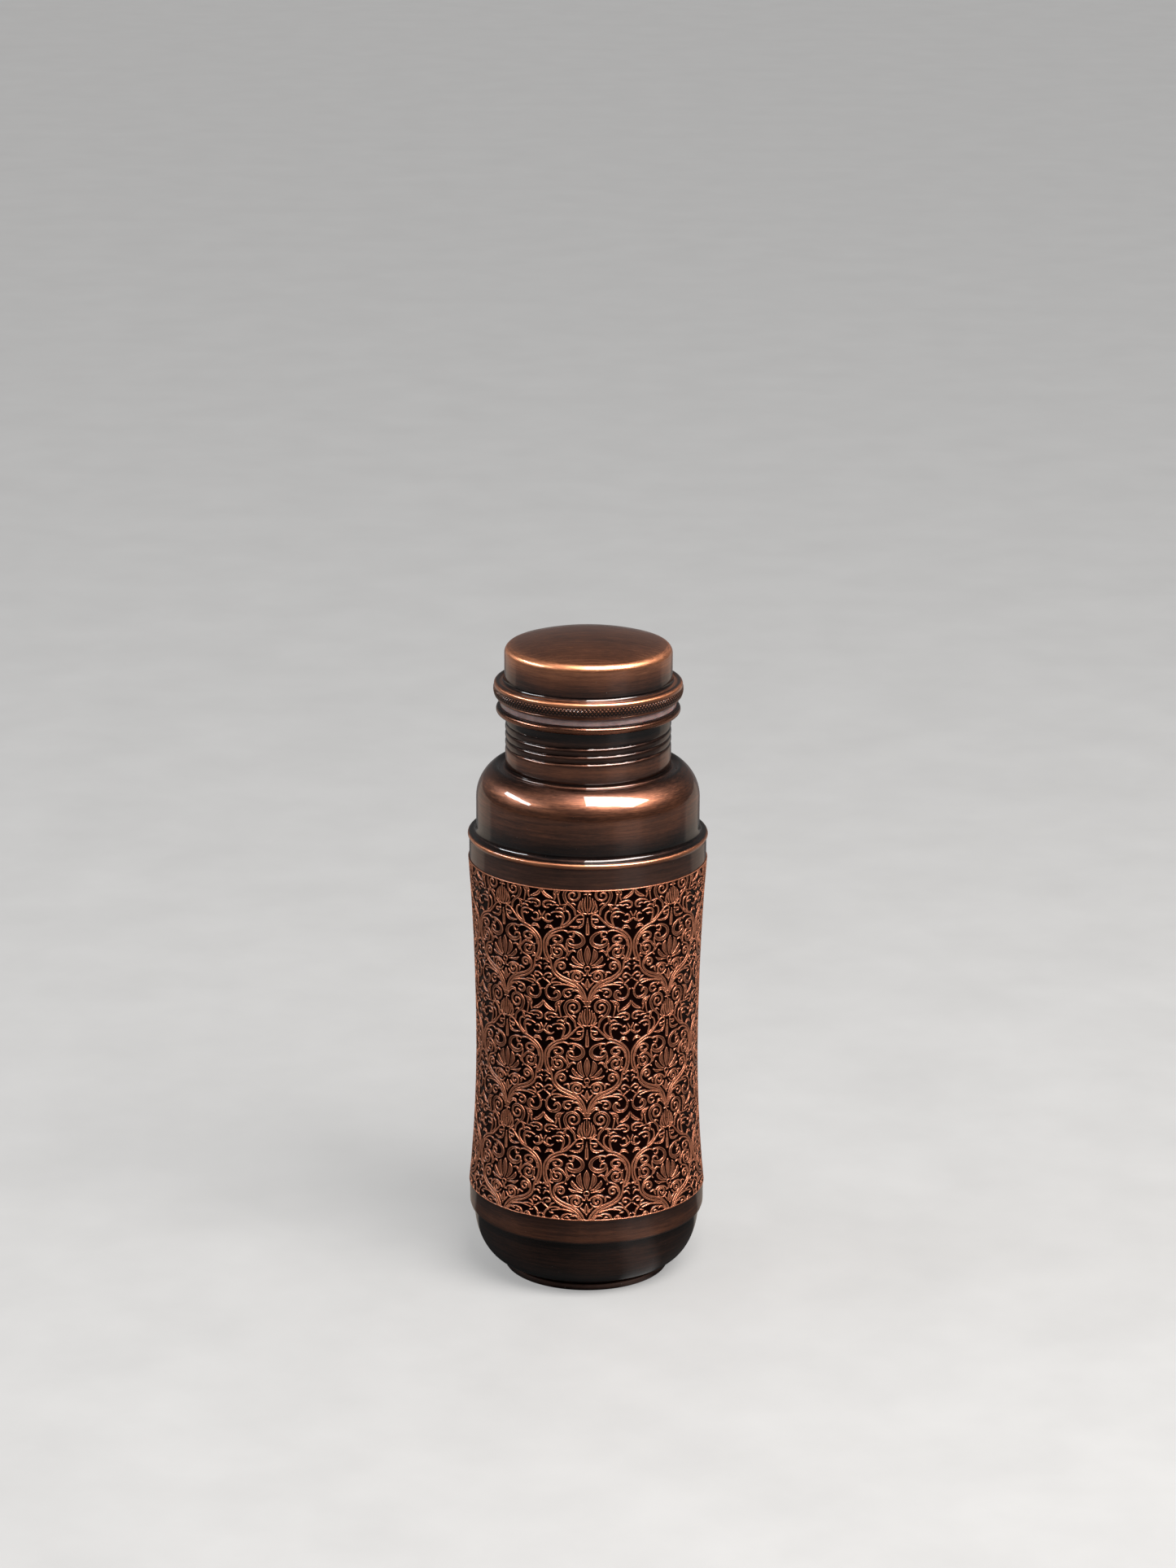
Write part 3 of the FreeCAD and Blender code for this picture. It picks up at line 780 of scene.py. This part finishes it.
def ogee_strokes():
    """The two ribbons of the ogee frame, side by side."""
    yield strand([(6.1, 15.0), (7.1, 14.4), (8.5, 14.3), (10.3, 15.0), (12.0, 16.2),
                  (13.1, 17.8), (13.6, 19.8), (13.5, 21.8), (13.0, 23.6), (12.2, 25.4),
                  (11.9, 27.4), (11.4, 29.0), (10.2, 30.4), (8.4, 31.6), (6.2, 32.5),
                  (4.4, 33.3), (3.0, 34.4), (2.0, 35.8), (1.3, 37.2), (0.6, 39.0)],
                 0.6, 0.8, 0.8, 0.9, 0.75)
    yield strand([(6.6, 24.5), (7.4, 23.9), (8.8, 24.3), (10.1, 25.2), (10.8, 26.6),
                  (10.7, 28.2), (9.8, 29.5), (8.2, 30.6), (6.2, 31.4), (4.2, 32.3),
                  (2.6, 33.5), (1.4, 35.0), (0.7, 36.7), (0.2, 38.4)], 0.6, 0.8, 0.9, 0.9, 0.65)


def palmette_strokes():
    """Fan of leaves on its ring, with the swag, spiral and spade under it."""
    yield strand([(0, 26.0), (0, 24.2), (0, 22.4), (0, 20.9), (0, 19.5)],
                 0.5, 1.9, 2.5, 1.9, 0.4)
    yield strand([(0.9, 26.0), (1.8, 24.7), (2.45, 23.2), (2.5, 21.9), (2.1, 20.6)],
                 0.5, 1.3, 2.1, 1.8, 0.4)
    yield strand([(1.3, 26.4), (2.7, 25.9), (3.9, 25.0), (4.6, 24.1), (4.8, 23.2)],
                 0.5, 1.0, 1.6, 1.4, 0.4)
    yield strand([(1.4, 27.1), (3.0, 26.85), (4.6, 26.7), (5.8, 25.9)], 0.4, 0.8, 1.1, 0.5)
    yield strand(spiral(0, 27.5, 0.85, 0.85, 0, 360), 0.5)
    yield strand([(1.0, 29.5), (2.1, 28.6), (3.5, 28.2), (4.9, 28.4), (5.8, 29.0), (6.8, 28.8),
                  (7.8, 29.2)], 0.5, 0.8, 0.8, 0.6)
    yield leaf([(5.8, 29.0), (6.2, 29.7), (5.9, 30.6)], 0.7, 0.9, 0.4)
    yield strand([(-1.3, 29.8), (1.3, 29.8)], 0.55)
    yield leaf([(0, 28.3), (0, 29.5)], 0.9, 1.3)
    yield strand(spiral(3.3, 30.2, 2.1, 0.45, 160, -510), 0.6, 0.9, 0.9, 0.8)
    yield leaf([(0, 31.1), (0, 32.8), (0, 35.2)], 0.5, 1.9, 0.4)
    yield leaf([(0.4, 34.2), (1.2, 33.2), (2.1, 32.2)], 0.6, 0.9, 0.3)


def foot_leaf_strokes():
    """Leaves and tendrils under the ogee, and the ring beside the middle of columns."""
    yield leaf([(0.7, 39.9), (1.4, 38.5), (2.5, 37.4), (3.6, 37.3), (4.3, 38.3)],
               0.5, 1.2, 1.3, 0.5)
    yield leaf([(2.0, 36.9), (2.9, 35.6), (4.0, 35.1), (5.1, 35.5)], 0.4, 0.8, 0.9, 0.4)
    yield strand([(4.7, 34.7), (6.3, 34.7), (7.5, 35.3), (7.9, 36.4), (7.3, 37.3), (6.3, 37.5),
                  (5.4, 36.8)], 0.5, 0.9, 1.0, 0.5)
    yield leaf([(5.4, 36.2), (6.2, 35.8), (7.0, 35.9)], 0.3, 0.8, 0.3)
    yield strand([(4.0, 34.1), (5.8, 33.5), (8.0, 33.2), (9.6, 33.4), (11.3, 33.8)],
                 0.6, 0.8, 0.5)
    yield leaf([(10.7, 34.8), (11.4, 34.6), (12.1, 34.4)], 0.4, 0.8, 0.4)
    yield strand([(8.8, 32.7), (10.5, 32.6), (12.0, 33.1), (13.2, 34.1), (13.9, 35.6),
                  (13.8, 37.2), (12.9, 38.4), (11.5, 38.7), (10.1, 38.3), (9.3, 37.2),
                  (9.6, 36.1), (10.4, 35.8), (11.2, 36.7)], 0.5, 0.8, 1.0, 1.6, 0.7)
    yield strand([(13.9, 35.3), (14.92, 35.3)], 0.6)


def middle_strokes():
    """Small crossings where two columns meet."""
    yield strand([(15.8, 31.9), (14.9, 31.0), (13.9, 30.1), (12.8, 29.7), (11.9, 30.3),
                  (12.2, 31.0), (13.1, 31.1)], 0.5, 0.7, 0.8)
    yield strand([(14.92, 31.2), (14.0, 32.0), (13.0, 32.8), (12.2, 33.2)], 0.7, 0.6)
    yield leaf([(10.5, 31.2), (11.4, 31.6), (12.1, 32.6)], 0.4, 0.8, 0.4)
    yield strand([(12.5, 25.9), (13.4, 25.4), (14.1, 24.8), (14.92, 25.2)], 0.5, 0.7, 0.8)
    yield strand([(11.8, 28.4), (12.6, 27.6), (13.6, 27.5), (14.3, 28.5)], 0.5, 0.8, 0.6)
    yield leaf([(13.2, 26.6), (14.0, 26.4), (14.6, 26.9)], 0.3, 0.5, 0.3)


MOTIFS = (bud_strokes, upper_leaf_strokes, acanthus_strokes, outer_stem_strokes,
          scroll_strokes, ogee_strokes, palmette_strokes, foot_leaf_strokes, middle_strokes)


def depth_in_stroke(x, y, line, half_widths, kind):
    """Distance in mm inside the edge of a stroke, negative outside it."""
    inside = np.full(x.shape, -FAR)
    from_vein = np.full(x.shape, FAR)
    for i in range(len(line) - 1):
        start, along = line[i], line[i + 1] - line[i]
        share = ((x - start[0]) * along[0] + (y - start[1]) * along[1]) / (along @ along + 1e-12)
        share = np.clip(share, 0, 1)
        gap = np.hypot(x - start[0] - share * along[0], y - start[1] - share * along[1])
        half_width = half_widths[i] + (half_widths[i + 1] - half_widths[i]) * share
        inside = np.maximum(inside, half_width - gap)
        from_vein = np.minimum(from_vein, np.where(half_width > VEIN_FROM, gap, FAR))
    if kind == "leaf":
        inside = np.minimum(inside, from_vein - VEIN)
    return inside


def stroke_depths(x, y):
    """Distance in mm inside the edge of the nearest stroke, at points of one repeat.

    Where two strokes overlap, the seam between them counts as an edge, so that ribbons
    stay apart where they run side by side or cross.
    """
    first = np.full(x.shape, OUTSIDE)
    second = np.full(x.shape, OUTSIDE)
    for motif in MOTIFS:
        for kind, points, widths in motif():
            line = curve_through(points, 8) if len(points) > 2 else np.array(points, float)
            if len(widths) == 1:
                widths = widths * 2
            stops = np.linspace(0, 1, len(widths))
            half_widths = np.interp(np.linspace(0, 1, len(line)), stops, widths) / 2 * STROKE_GAIN
            for copy in mirrored_copies(line):
                for shift in (-REPEAT_HEIGHT, 0, REPEAT_HEIGHT):
                    add_stroke(first, second, x, y, copy + [0, shift], half_widths, kind)
    return first - SEAM_CUT * np.clip(second, 0, None)


def mirrored_copies(line):
    """A stroke with its mirror images, where it comes near a side of the half column.

    A stroke that lies along the middle of a column is its own mirror image.
    """
    copies = [line]
    if line[:, 0].min() < MIRROR_REACH and line[:, 0].mean() > 0.2:
        copies.append(line * [-1, 1])
    if line[:, 0].max() > HALF_COLUMN - MIRROR_REACH:
        copies.append(line * [-1, 1] + [2 * HALF_COLUMN, 0])
    return copies


def add_stroke(first, second, x, y, line, half_widths, kind):
    """Merges one stroke into the greatest and the second greatest distances."""
    reach = half_widths.max() + STROKE_MARGIN
    near = ((x > line[:, 0].min() - reach) & (x < line[:, 0].max() + reach)
            & (y > line[:, 1].min() - reach) & (y < line[:, 1].max() + reach))
    if near.any():
        depth = depth_in_stroke(x[near], y[near], line, half_widths, kind)
        second[near] = np.maximum(second[near], np.minimum(first[near], depth))
        first[near] = np.maximum(first[near], depth)


def relief_height(inside):
    """Height of the relief, from 0 on the ground to 1, from the distance inside."""
    rise = np.clip((inside + RELIEF_TOE) / RELIEF_SLOPE, 0, 1)
    rise = rise * rise * (3 - 2 * rise)
    channel = np.interp(inside, [0.26, 0.40, 0.55, 0.8], [0, 0.35, 0.35, 0.1])
    return rise - channel


def sleeve_radius(height, low, high, bottom_radius, top_radius):
    """Radius over the crests: two arcs that meet upright at the waist."""
    span = np.where(height < WAIST_HEIGHT, WAIST_HEIGHT - low, high - WAIST_HEIGHT)
    rise = np.where(height < WAIST_HEIGHT, bottom_radius, top_radius) - WAIST_RADIUS
    arc_radius = (span ** 2 + rise ** 2) / (2 * rise)
    return WAIST_RADIUS + arc_radius - np.sqrt(arc_radius ** 2 - (height - WAIST_HEIGHT) ** 2)


def sleeve_sectors():
    """The sleeve in eight sectors, each one column of the pattern on a fine grid."""
    radius, low, high = size_of("damask_sleeve")
    step = 0.2
    half_columns = int(HALF_COLUMN / step)
    rows = int((high - low) / step)
    side = np.linspace(0, HALF_COLUMN, half_columns + 1)
    heights = np.linspace(high, low, rows + 1)
    x, z = np.meshgrid(side, heights)
    inside = stroke_depths(x, (high - z) % REPEAT_HEIGHT)
    edge = np.minimum(high - z, z - low)
    inside = np.where(edge < BORDER, np.minimum(edge, BORDER - edge), inside)
    inside = np.concatenate([inside[:, :0:-1], inside], axis=1)
    relief = relief_height(inside)
    across = np.concatenate([-side[:0:-1], side])
    crest = sleeve_radius(heights, low, high, radius, radius - 0.1)[:, None]
    radii = crest - RELIEF_DEPTH * (1 - relief)
    half_angle = math.pi / REPEATS_AROUND
    for sector in range(REPEATS_AROUND):
        middle = -math.pi / 2 + sector * 2 * half_angle
        angles = middle + across / HALF_COLUMN * half_angle
        build_sector(sector, angles, heights, radii, inside, crest[:, 0] - BACK_DEPTH)


def wall_points(radii, angles, heights):
    """Points of an upright grid: a row for each height and a column for each angle."""
    rows = np.broadcast_to(heights[:, None], radii.shape)
    return np.stack([radii * np.cos(angles), radii * np.sin(angles), rows], -1).reshape(-1, 3)


def build_sector(number, angles, heights, radii, inside, back_radii):
    """One closed sector: the relief in front, a coarse back and flat edges."""
    rows, columns = radii.shape
    back_rows = np.unique(np.linspace(0, rows - 1, 25).astype(int))
    back_columns = np.unique(np.linspace(0, columns - 1, 13).astype(int))
    back_grid = np.repeat(back_radii[back_rows, None], len(back_columns), 1)
    front = wall_points(radii, angles, heights)
    back = wall_points(back_grid, angles[back_columns], heights[back_rows])
    front_at = np.arange(rows * columns).reshape(rows, columns)
    back_at = len(front) + np.arange(len(back)).reshape(back_grid.shape)
    faces = np.stack([front_at[:-1, :-1], front_at[1:, :-1], front_at[1:, 1:],
                      front_at[:-1, 1:]], -1).reshape(-1, 4).tolist()
    faces += np.stack([back_at[:-1, :-1], back_at[:-1, 1:], back_at[1:, 1:],
                       back_at[1:, :-1]], -1).reshape(-1, 4).tolist()
    faces.append(front_at[0].tolist() + back_at[0, ::-1].tolist())
    faces.append(front_at[-1, ::-1].tolist() + back_at[-1].tolist())
    faces.append(front_at[::-1, 0].tolist() + back_at[:, 0].tolist())
    faces.append(front_at[:, -1].tolist() + back_at[::-1, -1].tolist())
    piece = mesh_object("damask_sleeve_%d" % number, np.vstack([front, back]), faces,
                        sharp_angle=80)
    values = np.full(len(front) + len(back), OUTSIDE)
    values[:len(front)] = inside.reshape(-1)
    set_attribute(piece, "inside", values)
    stand_for("damask_sleeve", piece, RELIEF)


# ---- pieces that keep their CAD mesh -------
def cad_materials():
    """The inner shell is never seen, and the plug only when the cap is up."""
    for node, material in (("body_shell", INNER), ("cap_plug", PLUG), ("plug_disc", PLUG)):
        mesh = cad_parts[node].data
        mesh.materials.clear()
        mesh.materials.append(material)


# ---- studio --------------------------------
def floor_glow(shader, path):
    """Brightness and colour of the floor's own light.

    The camera sees it pale. In reflections it is dark, but for three parts of it. A pale
    wing on each side behind shows as the pale strips along both sides of all that is
    upright on the bottle. A dimmer patch to the right in front shows as a soft glow right
    of the middle.
    """
    to_camera = 0.3
    wing_glow = 0.23
    patch_glow = 0.15
    place_of_hit = shader.add("NewGeometry").outputs["Position"]
    place = shader.add("SeparateXYZ", {0: place_of_hit})
    # how far behind the bottle a place lies, for each metre to a side; negative in front
    aside = shader.maths("ABSOLUTE", place.outputs["X"])
    ratio = shader.maths("DIVIDE", place.outputs["Y"], aside)
    wing = shader.maths("MULTIPLY", shader.span(ratio, 0.45, 0.55, 0, 1),
                        shader.span(ratio, 1.8, 2.2, 1, 0))
    on_right = shader.span(place.outputs["X"], 0.0, 0.01, 0, 1)
    patch = shader.maths("MULTIPLY", shader.span(ratio, -2.3, -1.5, 0, 1),
                         shader.span(ratio, -0.85, -0.6, 1, 0))
    patch = shader.maths("MULTIPLY", patch, on_right)
    away = shader.add("VectorMath", {0: place_of_hit}, operation="LENGTH")
    dim = shader.span(away.outputs["Value"], 0.08, 0.75, 0.008, 0.135)
    reflected = shader.maths("MULTIPLY_ADD", wing, wing_glow, dim)
    reflected = shader.maths("MULTIPLY_ADD", patch, patch_glow, reflected)
    seen = shader.maths("MULTIPLY", path["Is Camera Ray"], to_camera)
    strength = shader.blend(path["Is Glossy Ray"], seen, reflected)
    warm = shader.maths("MULTIPLY", wing, path["Is Glossy Ray"])
    return strength, shader.mix(warm, (1.0, 0.99, 0.98), (1.0, 0.85, 0.72))


def floor():
    """Large pale floor with faint clouds."""
    shader = Shader(bpy.data.materials.new("pale_floor"))
    path = shader.add("LightPath").outputs
    clouds = shader.span(shader.noise(0.02, detail=6, roughness=0.6), 0.3, 0.7, 0, 1)
    colour = shader.mix(clouds, (0.125, 0.124, 0.123), (0.145, 0.144, 0.143))
    colour = shader.mix(path["Is Glossy Ray"], colour, (0, 0, 0))
    strength, light = floor_glow(shader, path)
    material = shader.finish(Base_Color=colour, Roughness=0.7,
                             Normal=shader.bump(shader.noise(0.5, detail=4), 0.05, 0.3),
                             Emission_Color=light, Emission_Strength=strength)
    reach = 6.0
    corners = [(-reach, -reach, 0), (reach, -reach, 0), (reach, reach, 0), (-reach, reach, 0)]
    mesh = bpy.data.meshes.new("floor")
    mesh.from_pydata(corners, [], [(0, 1, 2, 3)])
    mesh.materials.append(material)
    add_object("floor", mesh)


def area_light(name, centre, target, size, radiance, colour):
    """A soft box of size (width, height) in metres, aimed at a target."""
    light = bpy.data.lights.new(name, "AREA")
    light.shape = "RECTANGLE"
    light.size, light.size_y = size
    light.energy = radiance * light.size * light.size_y
    light.color = colour
    holder = add_object(name, light)
    holder.location = centre
    holder.rotation_mode = "QUATERNION"
    holder.rotation_quaternion = (Vector(target) - Vector(centre)).to_track_quat("-Z", "Y")


def studio():
    """Two soft boxes over the bottle, and a room that is dark for reflections."""
    radiance = 22 * math.pi           # watts for each square metre of a soft box
    right, left = (0.70, -0.72, 1.2), (-1.32, -0.09, 0.87)
    under_right = (right[0], right[1], 0)
    bottle = (0, 0, 0.17)
    area_light("right_box", right, under_right, (1.48, 0.80), radiance, (1.0, 0.97, 0.94))
    area_light("left_box", left, bottle, (1.0, 0.17), radiance, (0.88, 0.95, 1.0))
    room()


def room():
    """Even pale light, but in reflections dark with a dim glow far behind the bottle."""
    world = bpy.data.worlds.new("room")
    bpy.context.scene.world = world
    shader = Shader(world)
    path = shader.add("LightPath").outputs
    place = shader.add("SeparateXYZ", {0: shader.add("TexCoord").outputs["Generated"]})
    behind = shader.span(place.outputs["Y"], 0.5, 0.85, 0.04, 0.09)
    seen = shader.span(path["Is Camera Ray"], 0, 1, 1.0, 0.5)
    background = shader.nodes["Background"].inputs
    shader.feed(background["Strength"], shader.blend(path["Is Glossy Ray"], seen, behind))
    shader.feed(background["Color"], (1, 1, 1, 1))
    bpy.context.scene.view_settings.view_transform = "Standard"


def camera():
    """The camera looks a little down on the front of the bottle."""
    elevation = math.radians(16.35)
    roll = math.radians(0.22)
    distance = 1.4054
    aim = Vector((0, 0, 0.1699))
    lens = bpy.data.cameras.new("camera")
    lens.sensor_width = 36
    lens.lens = 97.15
    back = Vector((0, -math.cos(elevation), math.sin(elevation)))
    holder = add_object("camera", lens)
    holder.location = aim + back * distance
    holder.rotation_euler = (math.radians(90) - elevation, 0, 0)
    holder.rotation_euler.rotate_axis("Z", roll)
    bpy.context.scene.camera = holder


for make in (foot_ring, base_bowl, base_band, rim_band, shoulder_shell, neck_tube, mouth_lip,
             mouth_gasket, cap_crown, knurled_collar, sleeve_sectors, cad_materials, floor,
             studio, camera):
    make()
